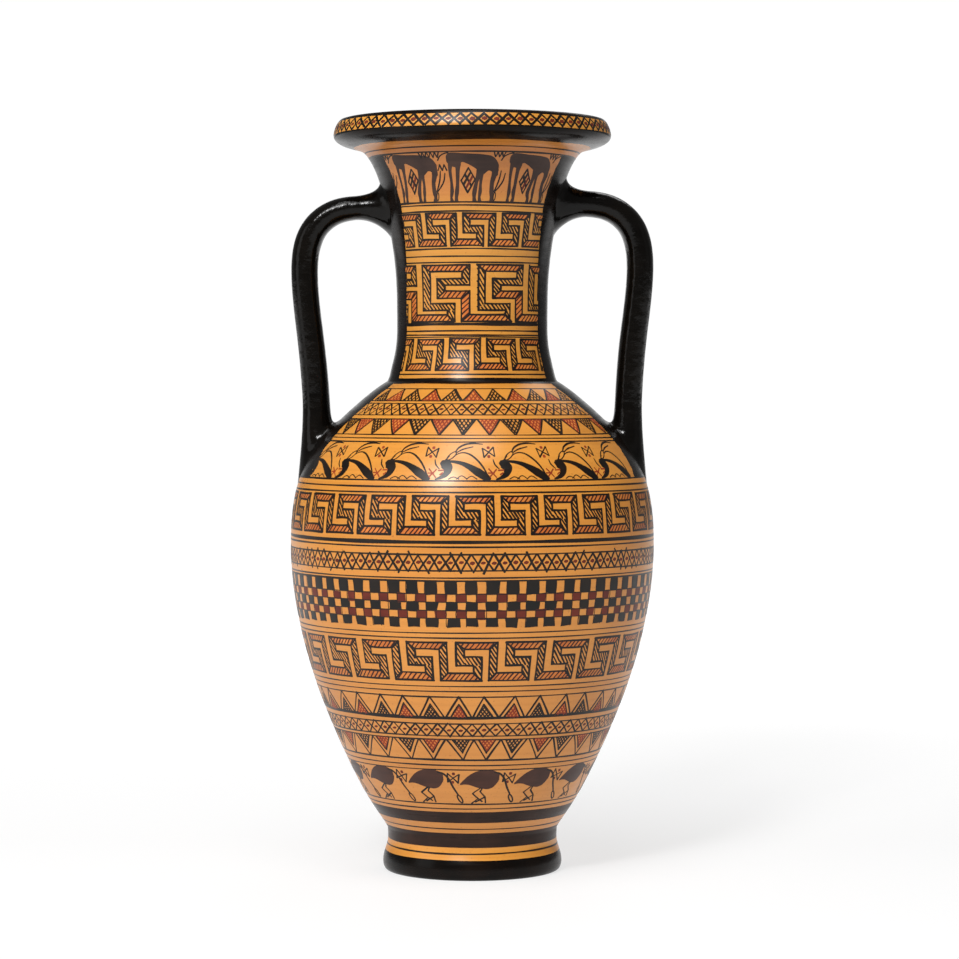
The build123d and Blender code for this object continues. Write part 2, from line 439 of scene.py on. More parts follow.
def crossings(corners, levels):
    """Where a polygon's sides pass through level 0, given each corner's level."""
    hits = []
    for p, q, a, b in zip(corners, np.roll(corners, -1, 0), levels, np.roll(levels, -1)):
        if a * b < 0:
            hits.append(p + (q - p) * a / (a - b))
    return hits


def shares(size, step, rim=0.04, inner=0.1):
    """Shares of the way across a patch, about step mm apart and closer together at its rims."""
    middle = np.linspace(inner, 1 - inner, max(2, int(size / step) + 1))
    return np.concatenate([[0, rim], middle, [1 - rim, 1]])


class Slip:
    """Brush strokes of one colour, gathered into one raised film that follows the clay."""

    def __init__(self, name, mat, slot="painted_clay"):
        self.name, self.mat, self.slot = name, mat, slot
        self.points, self.normals, self.faces, self.total = [], [], [], 0

    def grid(self, degrees, z, lift, closed=False):
        """A sheet of (rows, columns) places with its rim tucked into the clay, or closed to a ring."""
        height = np.full(degrees.shape, lift)
        height[:, [0, -1]] = TUCKED
        if not closed:
            height[[0, -1]] = TUCKED
        place, normal = on_surface(degrees, z, height)
        rows, columns = degrees.shape
        self.points.append(place.reshape(-1, 3))
        self.normals.append(normal.reshape(-1, 3))
        for i in range(rows if closed else rows - 1):
            a, b = self.total + i * columns, self.total + (i + 1) % rows * columns
            self.faces.extend((a + k, b + k, b + k + 1, a + k + 1) for k in range(columns - 1))
        self.total += rows * columns

    def stroke(self, points, width, lift, closed=False):
        """A brush stroke along points (degrees, mm), with a width in mm all along or at each point."""
        points = np.asarray(points, float)
        widths = np.broadcast_to(np.asarray(width, float), (len(points),)).astype(float)
        metric = metric_at(points[:, 1])
        if closed:
            delta = (np.roll(points, -1, 0) - np.roll(points, 1, 0)) * metric
            delta[0, 0] = delta[1, 0]
            delta[-1, 0] = delta[-2, 0]
        else:
            delta = np.gradient(points, axis=0) * metric
        delta /= np.maximum(np.linalg.norm(delta, axis=1), 1e-9)[:, None]
        if not closed:
            reach = widths[[0, -1]] * 0.3
            first = points[0] - delta[0] * reach[0] / metric[0]
            last = points[-1] + delta[-1] * reach[1] / metric[-1]
            points = np.vstack([first, points, last])
            delta = np.vstack([delta[:1], delta, delta[-1:]])
            metric = np.vstack([metric[:1], metric, metric[-1:]])
            widths = np.concatenate([[widths[0] * 0.55], widths, [widths[-1] * 0.55]])
        inner = max(2, int(widths.max() / 1.6) + 1)
        share = np.concatenate([[-1], np.linspace(-0.72, 0.72, inner), [1]])
        side = np.stack([-delta[:, 1], delta[:, 0]], -1)
        offset = share * widths[:, None] / 2
        degrees = points[:, :1] + side[:, :1] * offset / metric[:, :1]
        z = np.clip(points[:, 1:] + side[:, 1:] * offset / metric[:, 1:], 0.05, HEIGHT - 0.05)
        self.grid(degrees, z, lift * rng.uniform(0.85, 1.15), closed)

    def line(self, a, b, width, lift, shake=0.10, over=0.0):
        """A straight stroke from a to b (degrees, mm) by an unsteady hand, running over by up to over mm."""
        a, b = np.asarray(a, float), np.asarray(b, float)
        metric = metric_at((a[1] + b[1]) / 2)
        run = (b - a) * metric
        length = max(float(np.linalg.norm(run)), 1e-6)
        direction = run / length
        a = a - direction * over * rng.uniform(0.2, 1.0) / metric
        b = b + direction * over * rng.uniform(0.2, 1.0) / metric
        t = np.linspace(0, 1, max(3, int(length / 2.2) + 2))
        across = np.array([-direction[1], direction[0]]) / metric
        sway = np.sin(t * math.pi) * rng.normal(0, 0.8) + np.sin(2 * t * math.pi + rng.uniform(0, 6)) * 0.4
        sway = shake * (sway + rng.normal(0, 0.5))
        points = a + (b - a) * t[:, None] + across * sway[:, None]
        widths = width * rng.uniform(0.85, 1.15) * (1 + 0.12 * np.sin(t * 3 + rng.uniform(0, 6)))
        self.stroke(points, widths, lift)

    def curve(self, points, width, lift, steps=4):
        """A smooth stroke through a few places, whose width at each may differ."""
        points = np.asarray(points, float)
        widths = np.broadcast_to(np.asarray(width, float), (len(points),))
        fine = np.linspace(0, len(points) - 1, (len(points) - 1) * steps + 1)
        padded = np.vstack([2 * points[0] - points[1], points, 2 * points[-1] - points[-2]])
        index = np.minimum(fine.astype(int), len(points) - 2)
        t = (fine - index)[:, None]
        p0, p1, p2, p3 = (padded[index + k] for k in range(4))
        bend, twist = 2 * p0 - 5 * p1 + 4 * p2 - p3, 3 * p1 - p0 - 3 * p2 + p3
        smooth = 0.5 * (2 * p1 + (p2 - p0) * t + bend * t**2 + twist * t**3)
        self.stroke(smooth, np.interp(fine, np.arange(len(points)), widths), lift)

    def patch(self, corners, lift, rough):
        """A filled four-sided place with unsteady sides; its corners (degrees, mm) go counterclockwise."""
        corners = np.array(corners, float)
        unit = math.radians(profile_at(corners[:, 1].mean())[0])
        wide, tall = np.ptp(corners, axis=0) * (unit, 1)
        corners += rng.normal(0, rough, (4, 2)) / (unit, 1)
        u, v = np.meshgrid(shares(wide, 2), shares(tall, 2), indexing="ij")
        weights = ((1 - u) * (1 - v), u * (1 - v), u * v, (1 - u) * v)
        x, z = (sum(weight * corner[k] for weight, corner in zip(weights, corners)) for k in range(2))
        phase = rng.uniform(0, 6.3, 4)
        x += 0.8 * rough / unit * (2 * u - 1) * np.sin(4 * v + phase[0])
        z += 0.8 * rough * (2 * v - 1) * np.sin(4 * u + phase[1])
        self.grid(x, z, lift)

    def fill(self, polygon):
        """A thin wash over a convex polygon (degrees, mm)."""
        corners = np.array(polygon, float)
        low, high = corners[:, 1].min(), corners[:, 1].max()
        wide = np.ptp(corners[:, 0])
        if high - low < 0.3 or wide < 0.3:
            return
        levels = low + (high - low) * np.clip(shares(high - low, 2), 0.001, 0.999)
        hits = [[hit[0] for hit in crossings(corners, corners[:, 1] - level)] for level in levels]
        right, left = np.array([(max(pair), min(pair)) for pair in hits]).T[..., None]
        share = shares(wide * math.radians(profile_at((low + high) / 2)[0]), 1.6, 0.02, 0.06)
        self.grid(right + (left - right) * share, np.repeat(levels[:, None], len(share), 1), WASH_LIFT)

    def ring(self, z, width, spread=None):
        """A line turned on the wheel: all the way round, or across the front and back panels."""
        phase = rng.uniform(0, 6.3, 6)
        runs = [np.linspace(0, 360, 240, endpoint=False)]
        if spread:
            runs = [np.linspace(centre - spread, centre + spread, 84) for centre in (FRONT, BACK)]
        for degrees in runs:
            turn = np.radians(degrees)
            drift = sum(0.07 * np.sin((k + 1) * turn + phase[k]) for k in range(3))
            swell = 1 + 0.14 * np.sin(4 * turn + phase[3]) + 0.10 * np.sin(11 * turn + phase[4])
            self.stroke(np.stack([degrees, z + drift], -1), 1.2 * width * swell, 0.06, closed=not spread)

    def finish(self):
        """Adds the film's mesh, shaded with the clay's own normals."""
        mesh = add_mesh(self.name, np.vstack(self.points), self.faces, [self.mat])
        mesh.normals_split_custom_set_from_vertices(np.vstack(self.normals).tolist())


def films(name, slot="painted_clay", **materials):
    """Empty films of several colours for one band or figure."""
    return [Slip(f"{name}_{ending}", mat, slot) for ending, mat in materials.items()]


def finish_all(*slips):
    for film in slips:
        film.finish()


def panels(spread):
    """The panel centres that a band is drawn from: a band without a spread runs all the way round."""
    return (FRONT, BACK) if spread else (FRONT,)


def within(polygon, spread):
    """The part of a convex polygon, or of a line, that lies within spread degrees of its panel's centre."""
    for sign in (1, -1) if spread else ():
        kept = []
        for p, q in zip(polygon, polygon[1:] + polygon[:1]):
            inside_p, inside_q = sign * p[0] <= spread, sign * q[0] <= spread
            if inside_p:
                kept.append(p)
            if inside_p != inside_q:
                t = (sign * spread - p[0]) / (q[0] - p[0])
                kept.append((sign * spread, p[1] + (q[1] - p[1]) * t))
        polygon = kept
    return polygon


def shifted(places, centre):
    return [(centre + x, z) for x, z in places]


def hatch(film, polygon, slant, spacing, width, lift=0.06, inset=0.25):
    """Parallel strokes across a convex polygon (degrees, mm), slant degrees above the horizontal."""
    unit = math.radians(profile_at(np.mean([p[1] for p in polygon]))[0])
    flat = np.array(polygon, float) * (unit, 1)
    along = np.array([math.cos(math.radians(slant)), math.sin(math.radians(slant))])
    across = np.array([-along[1], along[0]])
    levels = flat @ across
    level = levels.min() + spacing * rng.uniform(0.35, 0.75)
    while level < levels.max() - 0.2 * spacing:
        hits = crossings(flat, levels - level)
        if len(hits) == 2:
            a, b = sorted(hits, key=lambda hit: hit @ along)
            length = float(np.linalg.norm(b - a))
            if length > 2.2 * inset + 0.3:
                short = (b - a) * inset / length
                film.line((a + short) / (unit, 1), (b - short) / (unit, 1), width, lift, shake=0.06)
        level += spacing * rng.uniform(0.88, 1.12)


# A cell of the running key, as shares of its width and height. Each bar has the slant of its hatching,
# which rises on red bars and falls on black ones, and each cell is outlined on into the next one.
SMALL_KEY = {
    "black": [
        ([(0.165, 1), (0.335, 0.825), (0.335, 0.396), (0.165, 0.396)], -56),
        ([(0.335, 0.62), (0.68, 0.62), (0.68, 0.396), (0.335, 0.396)], -56),
        ([(0.515, 0.396), (0.68, 0.396), (0.68, 0), (0.515, 0.2)], -56),
        ([(0.832, 0.825), (0.985, 1), (0.985, 0.2), (0.832, 0)], -56),
    ],
    "red": [
        ([(0.165, 1), (0.985, 1), (0.832, 0.825), (0.335, 0.825)], 50),
        ([(0.832, 0), (0.985, 0.2), (1.515, 0.2), (1.68, 0)], 50),
    ],
    "outlines": [
        [(0.165, 1), (0.985, 1), (0.985, 0.2), (1.515, 0.2), (1.515, 0.396), (1.165, 0.396), (1.165, 1)],
        [(0.335, 0.825), (0.832, 0.825), (0.832, 0), (1.68, 0)],
        [(0.335, 0.825), (0.335, 0.62), (0.68, 0.62), (0.68, 0)],
        [(0.165, 1), (0.335, 0.825)], [(0.985, 1), (0.832, 0.825)],
        [(0.832, 0), (0.985, 0.2)], [(1.68, 0), (1.515, 0.2)],
    ],
}
LARGE_KEY = {
    "black": [
        ([(0.13, 1), (0.265, 0.885), (0.265, 0.315), (0.13, 0.2)], -60),
        ([(0.13, 0.2), (0.265, 0.315), (0.724, 0.315), (0.724, 0.2)], -52),
        ([(0.612, 0.2), (0.724, 0.2), (0.724, 0), (0.612, 0.122)], -60),
        ([(0.4, 0.76), (0.85, 0.76), (0.978, 0.643), (0.545, 0.643)], -46),
        ([(0.85, 0.885), (0.978, 1), (0.978, 0.643), (0.85, 0.76)], -56),
        ([(0.4, 0.76), (0.545, 0.643), (0.545, 0.54), (0.4, 0.413)], -50),
    ],
    "red": [
        ([(0.13, 1), (0.978, 1), (0.85, 0.885), (0.265, 0.885)], 50),
        ([(0.4, 0.413), (0.545, 0.54), (0.978, 0.54), (0.838, 0.413)], 50),
        ([(0.838, 0.413), (0.978, 0.54), (0.978, 0.122), (0.838, 0)], 42),
        ([(0.838, 0), (0.978, 0.122), (1.612, 0.122), (1.724, 0)], 48),
    ],
    "outlines": [
        [(0.13, 1), (0.978, 1), (0.978, 0.643), (0.545, 0.643), (0.545, 0.54), (0.978, 0.54),
         (0.978, 0.122), (1.612, 0.122), (1.612, 0.2), (1.13, 0.2), (1.13, 1)],
        [(0.265, 0.885), (0.85, 0.885), (0.85, 0.76), (0.4, 0.76), (0.4, 0.413), (0.838, 0.413),
         (0.838, 0), (1.724, 0)],
        [(0.724, 0), (0.724, 0.315), (0.265, 0.315), (0.265, 0.885)],
        [(0.13, 1), (0.265, 0.885)], [(0.978, 1), (0.85, 0.885)], [(0.978, 0.54), (0.838, 0.413)],
        [(0.838, 0), (0.978, 0.122)], [(1.724, 0), (1.612, 0.122)], [(0.4, 0.76), (0.545, 0.643)],
        [(0.4, 0.413), (0.545, 0.54)],
    ],
}


def meander(name, key, low, high, first, count, spacing, width, spread=None, cells=None):
    """A band of the running key, hatched black on its walls and red on its bars.
    count cells go right round; first is the first cell's left edge, in degrees from a panel's centre."""
    black, wash, red = films(name, black=LINE_BLACK, wash=WASH, red=UMBER)
    pitch = 360 / count
    for centre in panels(spread):
        for cell in range(cells or count):
            start = first + pitch * (cell + rng.normal(0, 0.012))
            rise = rng.normal(0, 0.12)

            def at(places):
                return [(start + pitch * u, low + (high - low) * v + rise) for u, v in places]

            for polygon, slant in key["red"] + key["black"]:
                bar = shifted(within(at(polygon), spread), centre)
                if len(bar) < 3:
                    continue
                if slant < 0:
                    hatch(black, bar, slant, spacing, width)
                else:
                    wash.fill(bar)
                    hatch(red, bar, slant, spacing * 1.2, width * 0.85)
            for outline in key["outlines"]:
                places = at(outline)
                for p, q in zip(places, places[1:]):
                    ends = within([p, q], spread)[:2]
                    if ends:
                        black.line(*shifted(ends, centre), width * 1.12, 0.085, over=0.35)
    finish_all(wash, red, black)


def lattice(name, low, high, count, width, dot, spread=None, over=0.0, slot="painted_clay"):
    """A row of diamonds made of crossing strokes, each with a dot."""
    lines, dots = films(name, slot, lines=LINE_BLACK, dots=RED)
    pitch = 360 / count
    half = dot / 2 / math.radians(profile_at((low + high) / 2)[0])
    for centre in panels(spread):
        cells = int(2 * spread / pitch) if spread else count
        for cell in range(cells):
            x = centre + pitch * (cell - cells / 2)
            a, b, c, d = rng.normal(0, 0.05 * pitch, 4) + (x, x + pitch, x, x + pitch)
            reach = over * rng.uniform(-0.2, 1.0, 4) ** 3
            lines.line((a, low - reach[0]), (b, high + reach[1]), width, 0.075)
            lines.line((c, high + reach[2]), (d, low - reach[3]), width, 0.08)
            middle = (low + high) / 2 + rng.normal(0, 0.15)
            tip = x + rng.normal(0, 0.1) * half
            widths = np.array([0.5, 1.0, 0.6]) * dot * rng.uniform(0.8, 1.15)
            dots.stroke([(x - half, middle - 0.15), (tip, middle), (x + half, middle + 0.15)], widths, 0.06)
    finish_all(lines, dots)


def teeth(name, base, tip, count, first, width, spread=None, cells=None, double=False):
    """A row of triangles from base to tip heights, crosshatched black and red by turns.
    Double ones are hatched only in a smaller triangle inside."""
    black, red, wash = films(name, black=LINE_BLACK, red=SCARLET, wash=WASH)
    pitch = 360 / count
    for centre in panels(spread):
        for cell in range(cells or count):
            x = first + pitch * cell + rng.normal(0, 0.02 * pitch)
            film = red if cell % 2 else black
            a, b = (x + 0.02 * pitch, base), (x + 0.98 * pitch, base)
            c = (x + pitch * (0.5 + rng.normal(0, 0.05)), tip)
            sides = [(a, c, 1.0), (b, c, 1.0)]
            if double:
                foot = (c[0] * 0.5 + (a[0] + b[0]) * 0.25, base)
                a, b, c = (tuple(foot[i] + (p[i] - foot[i]) * 0.64 for i in range(2)) for p in (a, b, c))
                sides += [(a, c, 0.9), (b, c, 0.9)]
            for p, q, thick in sides:
                ends = within([p, q], spread)[:2]
                if ends:
                    black.line(*shifted(ends, centre), width * thick, 0.085, over=0.2)
            inside = shifted(within([a, b, c], spread), centre)
            if len(inside) < 3:
                continue
            if film is red:
                wash.fill(inside)
            for slant in (52, -52):
                hatch(film, inside, slant, 1.5 if double else 1.65, width * 0.85, 0.065, inset=0.05)
    finish_all(wash, red, black)


def checkers(name, heights, count, first):
    """Rows of squares on a drawn grid: black on the odd rows and dark red between, stepped by one.
    first is a black square's left edge, in degrees from the front panel's centre."""
    black, red, net = films(name, black=LINE_BLACK, red=RED, grid=LINE_BLACK)
    pitch = 360 / count
    for row, (high, low) in enumerate(zip(heights, heights[1:])):
        film, widest, lift = (red, 1.22, 0.04) if row % 2 else (black, 1.4, 0.03)
        net.ring(high, 0.5)
        for cell in range(count):
            x = FRONT + first + cell * pitch
            net.line((x, high), (x, low), 0.5, 0.07)
            if (cell + row) % 2:
                continue
            x += rng.normal(-0.06, 0.05) * pitch
            right = x + pitch * rng.uniform(widest - 0.2, widest)
            bottom, top = low + rng.normal(-0.3, 0.15), high + rng.normal(0.3, 0.15)
            film.patch([(x, bottom), (right, bottom), (right, top), (x, top)], lift, 0.2)
    finish_all(net, black, red)


def build_lines():
    """The turned lines, from the mouth down to the foot, as (height, width)."""
    neck = Slip("neck_turned_lines", LINE_BLACK)
    for z, width in ((382.0, 0.8), (379.3, 0.9)):
        neck.ring(z, width)
    for z, width in (
        (353.6, 0.9), (352.0, 0.7), (348.8, 0.8), (329.4, 0.8), (325.7, 0.7), (322.5, 0.8), (290.2, 1.5),
        (286.7, 0.8), (284.5, 0.8), (283.4, 0.6), (263.9, 0.8),
    ):
        neck.ring(z, width, float(panel_edge(z)))
    neck.finish()
    body = Slip("body_turned_lines", LINE_BLACK)
    for z, width in (
        (256.4, 0.7), (250.1, 0.7), (248.6, 0.7), (242.8, 0.7), (240.8, 0.7), (232.7, 0.7), (230.9, 0.7),
        (229.2, 0.8),
    ):
        body.ring(z, width, float(panel_edge(z)))
    for z, width in (
        (209.8, 0.9), (206.7, 0.8), (203.7, 0.8), (179.0, 1.7), (176.5, 0.8), (172.6, 0.8), (164.5, 0.7),
        (160.9, 0.7), (159.5, 0.6), (132.8, 0.6), (130.2, 0.7), (105.1, 0.6), (102.4, 0.6), (99.5, 0.7),
        (88.4, 1.6), (85.3, 0.7), (78.6, 0.7), (76.8, 0.7), (65.7, 1.0), (62.9, 0.7), (60.3, 0.6),
        (41.5, 0.8), (38.9, 0.7), (27.3, 0.7),
    ):
        body.ring(z, width)
    body.finish()
    foot = Slip("foot_turned_lines", LINE_BLACK, "black_banded_clay")
    foot.ring(14.0, 0.8)
    foot.finish()


def build_patterns():
    lattice("rim_lattice", 391.9, 397.7, 74, 1.5, 2.4, slot="black_banded_clay")
    meander("neck_upper_key", SMALL_KEY, 331.0, 347.8, -90.2, 13.53, 1.45, 1.0, 55.0, 6)
    meander("neck_middle_key", LARGE_KEY, 291.4, 321.0, -132.3, 8.276, 1.6, 1.06, 59.3, 5)
    meander("neck_lower_key", SMALL_KEY, 266.2, 282.3, -104.7, 13.0, 1.4, 0.98, 59.3, 6)
    teeth("shoulder_upper_teeth", 250.2, 256.2, 32, -61.0, 1.05, 60.3, 11)
    lattice("shoulder_lattice", 243.0, 248.5, 75, 1.05, 1.9, 64.0)
    teeth("shoulder_lower_teeth", 240.6, 232.8, 37, -66.3, 1.15, 66.0, 14)
    meander("belly_upper_key", SMALL_KEY, 182.6, 201.9, -21.0, 26, 1.65, 1.12)
    lattice("belly_lattice", 164.6, 172.5, 110, 1.2, 2.1, over=1.8)
    checkers("belly_checkers", (159.1, 152.7, 148.6, 144.3, 140.3, 135.9), 116, -1.84)
    meander("belly_lower_key", SMALL_KEY, 108.1, 127.9, -24.5, 22, 1.6, 1.05)
    teeth("bowl_upper_teeth", 88.6, 99.6, 36, -20.2, 1.1, double=True)
    lattice("bowl_lattice", 78.7, 85.2, 80, 1.0, 1.9, over=0.5)
    teeth("bowl_lower_teeth", 76.7, 65.7, 32, -33.2, 1.05, double=True)


# ---------------- figures
BIRDS = 14
# Bodies as (x, top, bottom), and legs as places (x, z) with a width at each, in mm
DEER_BODY = [
    (-0.6, 22.6, 20.8), (0.0, 24.4, 19.2), (1.6, 25.1, 17.8), (4.8, 24.9, 17.0), (6.7, 24.6, 20.4),
    (10.0, 24.4, 18.8), (14.0, 24.3, 16.2), (15.2, 24.2, 13.8), (17.3, 24.0, 13.4), (19.4, 23.7, 16.0),
    (21.2, 23.1, 15.2), (23.2, 21.2, 12.4), (24.4, 18.4, 13.4),
]
DEER_LEGS = [
    ([(1.3, 19.6), (0.9, 15.5), (1.1, 9.9), (1.3, 5.2), (0.9, 2), (0.9, 0.1)],
     (2.8, 1.9, 1.5, 2.3, 1.4, 2.2)),
    ([(5, 19.4), (4.6, 15.5), (4.2, 9), (3.8, 5), (3.6, 2), (3.4, 0.1)],
     (3.6, 2.3, 1.9, 2.5, 1.8, 2.3)),
    ([(14.9, 17), (14.5, 13.5), (13.7, 9.5), (12.5, 4.8), (12.6, 2), (12.9, 0.1)],
     (3.4, 2.7, 2.0, 2.6, 1.9, 2.5)),
    ([(16.8, 16.5), (16.3, 13.5), (15.9, 8.7), (15.8, 5), (15.4, 2.2), (15.3, 0.1)],
     (3.0, 2.0, 1.6, 2.1, 1.5, 2.2)),
    ([(22.7, 16.5), (22.3, 13.5), (21.5, 9.5), (21.3, 5), (21.6, 2.2), (21.4, 0.1)],
     (4.0, 3.2, 2.4, 2.6, 1.8, 2.4)),
]
BIRD_BODY = [
    (0, 10.8, 10.2), (2.4, 13.4, 10.6), (5.0, 15.8, 10.3), (8.0, 17.6, 9.2), (10.6, 18.5, 8.3),
    (14.8, 18.8, 7.7), (17.6, 18.3, 8.5), (19.6, 17.4, 10.6), (20.9, 15.8, 13.2),
]


def placed(start, base, radius):
    """Turns a figure's own points (mm right of start, mm above base) into degrees and height."""

    def to_pot(points):
        return np.asarray(points, float) * (math.degrees(1 / radius), 1) + (start, base)

    return to_pot


def silhouette(film, to_pot, outline):
    """A filled body. outline is (x, top, bottom) in mm from left to right."""
    outline = np.array(outline, float)
    left, right = outline[[0, -1], 0]
    x = np.arange(left, right + 0.2, 0.6)
    x = np.concatenate([[left], x[(x > left + 0.15) & (x < right - 0.15)], [right]])
    top, bottom = (np.interp(x, outline[:, 0], outline[:, k]) for k in (1, 2))
    for _ in range(2):
        for edge in (top, bottom):
            edge[1:-1] = (edge[:-2] + 2 * edge[1:-1] + edge[2:]) / 4
    share = np.array([0, 0.06, 0.2, 0.4, 0.6, 0.8, 0.94, 1])
    z = bottom[:, None] + (top - bottom)[:, None] * share
    places = to_pot(np.stack([np.repeat(x[:, None], len(share), 1), z], -1))
    film.grid(places[..., 0], places[..., 1], 0.07)


def turned_by(degrees, x, z):
    """Points (x, z) turned about the origin."""
    lean = math.radians(degrees)
    return x * math.cos(lean) - z * math.sin(lean), x * math.sin(lean) + z * math.cos(lean)


def drawn_loop(film, to_pot, centre, long, short, tilt, width):
    """A small slanting oval in outline."""
    turn = np.linspace(0, 2 * math.pi, 15)
    x, z = turned_by(tilt, long * np.cos(turn), short * np.sin(turn))
    film.curve(to_pot(np.stack([centre[0] + x, centre[1] + z], -1)), width, 0.085, 2)


def bow_tie(film, dots, to_pot, centre, tilt, size=1.0):
    """Two outlined triangles point to point, with a dot above and a dot below."""

    def at(x, z):
        x, z = turned_by(tilt, x, z)
        return centre[0] + size * x, centre[1] + size * z

    for side in (-1, 1):
        corners = to_pot([at(0, 0), at(2.9 * side, 2.3), at(2.7 * side, -2.4), at(0, 0)])
        for a, b in zip(corners, corners[1:]):
            film.line(a, b, 0.82, 0.08, 0.05)
    for side in (-1, 1):
        x, z = at(0.2 * side, 2.2 * side)
        dots.stroke(to_pot([(x - 0.4, z), (x + 0.4, z + 0.1)]), 1.9, 0.06)


def zigzag(film, to_pot, left, right, low, high, count):
    steps = np.linspace(left, right, 2 * count + 1)
    points = to_pot([(x, high if i % 2 else low) for i, x in enumerate(steps)])
    for a, b in zip(points, points[1:]):
        film.line(a, b, 0.85, 0.08, 0.05, over=0.1)


def deer(body, lines, reds, to_pot):
    """A standing deer in silhouette, with a hatched lozenge between its legs."""
    silhouette(body, to_pot, DEER_BODY)
    for points, widths in DEER_LEGS:
        body.curve(to_pot([(x + rng.normal(0, 0.15), z) for x, z in points]), widths, 0.075)
    half, tall = rng.uniform(2.9, 3.5), rng.uniform(5.6, 6.3)
    corners = np.array([(9.6 - half, 10.6), (9.9, 10.8 + tall), (9.6 + half, 11.3), (9.3, 10.8 - tall)])
    for a, b in zip(corners, np.roll(corners, -1, 0)):
        lines.line(*to_pot([a, b]), 1.0, 0.085, 0.06, over=0.3)
    left, top, right, bottom = corners
    for film, share, sides in (
        (lines, 0.5, ((left, top), (bottom, right))),
        (lines, 0.34, ((top, right), (left, bottom))),
        (reds, 0.68, ((top, right), (left, bottom))),
    ):
        film.line(*to_pot([a + (b - a) * share for a, b in sides]), 1.35, 0.075, 0.05)


def antlers(lines, to_pot, branched):
    """What lies to the left of a deer: its antlers, a zigzag over them and two grass blades under."""
    lines.curve(to_pot([(1.0, 24.9), (-1.1, 24.4), (-3.2, 23.1), (-4.5, 21.0)]), (0.9, 0.8, 0.8, 0.9), 0.085)
    if branched:
        zigzag(lines, to_pot, -13.4, -3.4, 25.4, 22.5, 5)
        zigzag(lines, to_pot, -5.0, -0.6, 15.9, 18.9, 2)
    else:
        zigzag(lines, to_pot, -8.3, -2.8, 25.4, 22.7, 3)
    for blade in (
        [(-3.9, 15.8), (-4.4, 12.2), (-5.4, 8.6), (-6.9, 4.8)],
        [(-1.7, 14.6), (-2.4, 11.0), (-4.0, 8.0), (-6.3, 5.2)],
    ):
        lines.curve(to_pot(blade), (0.6, 0.9, 0.9, 0.7), 0.085)
    drawn_loop(lines, to_pot, (-6.5, 2.6), 2.1, 0.55, 84, 0.6)


def goat(film, reds, to_pot, whole):
    """A goat with its head turned back and long curved horns. A whole one has a plant and a
    bow-tie before it."""

    def draw(points, widths, lift=0.085):
        film.curve(to_pot(points), widths, lift)

    draw(
        [(-0.9, 8.6), (0.6, 7.7), (2.1, 5.8), (1.4, 2.9), (-1.0, 1.0), (-3.6, 0.1)],
        (3.4, 5.9, 5.5, 3.4, 2.1, 0.8), 0.08,
    )
    draw(
        [(-0.8, 9.0), (4.2, 9.0), (9.0, 8.0), (13.0, 6.0), (16.6, 3.6), (19.8, 1.4), (21.8, 0.1)],
        (1.2, 1.7, 2.5, 3.6, 4.9, 4.4, 2.6),
    )
    draw(
        [(5.0, 11.9), (7.4, 13.2), (10.2, 13.4), (13.6, 12.0), (17.4, 8.4), (20.2, 3.8), (21.4, -0.4)],
        (0.5, 0.7, 0.9, 1.1, 1.1, 0.9, 0.7), 0.09,
    )
    drawn_loop(film, to_pot, (3.6, 11.9), 2.9, 1.1, 42, 0.7)
    draw([(0.4, 9.4), (1.4, 10.6), (2.4, 11.8)], 0.8)
    horn = [(5.2, 13.6), (6.8, 15.9), (10.2, 17.6), (14.6, 18.1), (19.2, 17.7)]
    draw(horn, (0.7, 1.1, 1.3, 1.1, 0.6), 0.09)
    draw([(6.0, 13.6), (9.2, 15.2), (14.2, 16.4)], (0.7, 1.0, 0.7))
    for x, tall in ((2.6, 1.3), (6.4, 1.9), (11.0, 1.7)):
        draw([(x, 0.2), (x + 2.4, tall), (x + 5.0, 0.2)], 0.6, 0.08)
    if not whole:
        return
    draw([(-4.6, 10.0), (-3.9, 7.5), (-2.0, 5.3)], (0.6, 0.9, 0.6))
    for a, b in (
        ((-7.0, 5.4), (-3.4, 1.0)), ((-3.3, 5.1), (-6.7, 1.2)), ((-7.4, 3.2), (-4.4, 3.3)),
        ((-2.4, 4.6), (0.4, 4.7)), ((-1.6, 2.4), (-0.2, 3.4)),
    ):
        reds.line(*to_pot([a, b]), 0.8, 0.075, 0.05)
    bow_tie(film, reds, to_pot, (-6.6, 13.7), rng.normal(0, 6))


def bird(body, lines, reds, to_pot):
    """A feeding bird: a full body in silhouette on thin bent legs, its beak to the ground."""
    silhouette(body, to_pot, BIRD_BODY)
    neck = [(17.8, 17.2), (21.0, 16.3), (23.6, 13.4), (25.4, 9.2), (28.0, 4.8)]
    lines.curve(to_pot(neck), (0.9, 1.2, 1.2, 1.2, 1.0), 0.085)
    drawn_loop(lines, to_pot, (28.9, 2.6), 2.4, 0.95, -58, 0.9)
    for path in (
        [(11.4, 8.8), (6.8, 5.6), (10.0, 2.9), (6.3, 0.2)],
        [(12.2, 8.8), (11.0, 6.6), (13.8, 3.7), (14.3, 0.5)],
        [(13.8, 3.7), (8.6, 0.9)],
        [(10.0, 2.9), (12.4, 1.2)],
    ):
        for a, b in zip(to_pot(path), to_pot(path[1:])):
            lines.line(a, b, 0.9, 0.085, 0.06, over=0.1)
    bow_tie(lines, reds, to_pot, (-3.3, 14.0), -14 + rng.normal(0, 6), 1.05)


